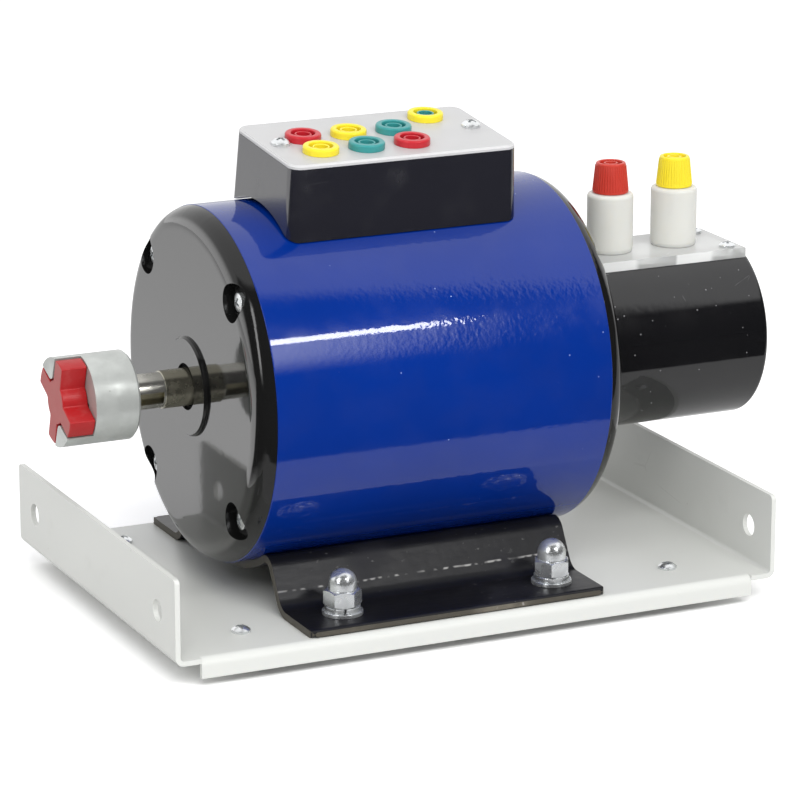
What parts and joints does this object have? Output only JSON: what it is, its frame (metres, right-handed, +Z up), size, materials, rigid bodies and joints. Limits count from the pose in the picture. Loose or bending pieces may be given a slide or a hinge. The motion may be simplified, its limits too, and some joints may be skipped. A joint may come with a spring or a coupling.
{
  "type": "laboratory synchronous motor",
  "caption": "Slip-ring laboratory synchronous motor on a folded base plate, with a jaw coupling, a terminal box of plug sockets and binding posts.",
  "frame": {"origin": "on the standing surface, under the middle of the bounding box", "axes": "+X along the shaft from the coupling to the slip ring cover, +Z up"},
  "size_m": [0.2945, 0.17, 0.1923],
  "materials": {
    "plate_grey": "satin light grey powder coat",
    "motor_blue": "gloss royal blue enamel",
    "gloss_black": "gloss black enamel",
    "satin_black": "brushed-on satin black paint",
    "zinc_steel": "bright zinc plate",
    "shaft_steel": "turned steel, lightly oiled",
    "bearing_steel": "ground steel",
    "core_iron": "laminated sheet",
    "copper": "varnished copper wire",
    "brass": "turned brass",
    "phenolic": "moulded phenolic",
    "carbon": "pressed carbon",
    "hub_aluminium": "cast and turned aluminium",
    "spider_red": "cast red elastomer",
    "black_rubber": "moulded rubber",
    "clear_acrylic": "clear, polished",
    "white_plastic": "milky moulded plastic",
    "red_plastic": "moulded plastic",
    "yellow_plastic": "moulded plastic",
    "teal_plastic": "moulded plastic",
    "box_black": "moulded plastic",
    "panel_grey": "engraving laminate"
  },
  "bodies": {
    "frame": {"base_plate": "plate_grey", "frame_shell": "motor_blue", "drive_end_shield": "gloss_black", "rear_end_shield": "gloss_black", "slip_ring_cover": "gloss_black", "motor_saddle": "satin_black", "pad_screws": "zinc_steel", "foot_bolts": "zinc_steel", "foot_washers": "zinc_steel", "foot_spring_washers": "zinc_steel", "foot_cap_nuts": "zinc_steel", "tie_bolts": "zinc_steel", "tie_nuts": "zinc_steel", "wave_spring": "zinc_steel", "cover_pillars": "zinc_steel", "cover_screws": "zinc_steel", "brush_springs": "zinc_steel", "terminal_plate_screws": "zinc_steel", "box_screws": "zinc_steel", "panel_screws": "zinc_steel", "socket_nuts": "zinc_steel", "front_bearing_outer": "bearing_steel", "rear_bearing_outer": "bearing_steel", "stator_core": "core_iron", "stator_winding": "copper", "post_studs": "brass", "post_nuts": "brass", "socket_contacts": "brass", "brush_holder": "phenolic", "carbon_brushes": "carbon", "rubber_pads": "black_rubber", "shaft_seal": "black_rubber", "terminal_plate": "clear_acrylic", "post_sleeves": "white_plastic", "red_sockets": "red_plastic", "yellow_sockets": "yellow_plastic", "earth_socket": "yellow_plastic", "teal_sockets": "teal_plastic", "terminal_box": "box_black", "terminal_panel": "panel_grey"},
    "rotor": {"rotor_shaft": "shaft_steel", "rotor_poles": "core_iron", "field_winding": "copper", "slip_ring_sleeve": "phenolic", "slip_rings": "brass", "front_bearing_inner": "bearing_steel", "rear_bearing_inner": "bearing_steel", "shaft_key": "shaft_steel", "coupling_hub": "hub_aluminium", "coupling_set_screw": "shaft_steel", "coupling_spider": "spider_red"},
    "front_cage": {"front_ball_cage": "bearing_steel"},
    "rear_cage": {"rear_ball_cage": "bearing_steel"},
    "red_clamp": {"red_post_collar": "brass"},
    "red_cap": {"red_post_cap": "red_plastic"},
    "yellow_clamp": {"yellow_post_collar": "brass"},
    "yellow_cap": {"yellow_post_cap": "yellow_plastic"}
  },
  "joints": [
    {"name": "rotor_spin", "type": "hinge", "parent": "frame", "child": "rotor", "pos_m": [-0.01325, 0, 0.0925], "axis": [1, 0, 0], "continuous": true},
    {"name": "front_cage_spin", "type": "hinge", "parent": "frame", "child": "front_cage", "pos_m": [-0.08375, 0, 0.0925], "axis": [1, 0, 0], "continuous": true},
    {"name": "rear_cage_spin", "type": "hinge", "parent": "frame", "child": "rear_cage", "pos_m": [0.05575, 0, 0.0925], "axis": [1, 0, 0], "continuous": true},
    {"name": "red_clamp_lift", "type": "slide", "parent": "frame", "child": "red_clamp", "axis": [0, 0, 1], "range_m": [0, 0.004]},
    {"name": "red_cap_turn", "type": "hinge", "parent": "red_clamp", "child": "red_cap", "pos_m": [0.09305, 0, 0.1282], "axis": [0, 0, 1], "range_deg": [0, 1440]},
    {"name": "yellow_clamp_lift", "type": "slide", "parent": "frame", "child": "yellow_clamp", "axis": [0, 0, 1], "range_m": [0, 0.004]},
    {"name": "yellow_cap_turn", "type": "hinge", "parent": "yellow_clamp", "child": "yellow_cap", "pos_m": [0.12235, 0, 0.1282], "axis": [0, 0, 1], "range_deg": [0, 1440]}
  ],
  "couplings": [
    {"joint": "front_cage_spin", "follows": "rotor_spin", "ratio": 0.38},
    {"joint": "rear_cage_spin", "follows": "rotor_spin", "ratio": 0.38},
    {"joint": "red_cap_turn", "follows": "red_clamp_lift", "rad_per_m": 6283.1},
    {"joint": "yellow_cap_turn", "follows": "yellow_clamp_lift", "rad_per_m": 6283.1}
  ]
}
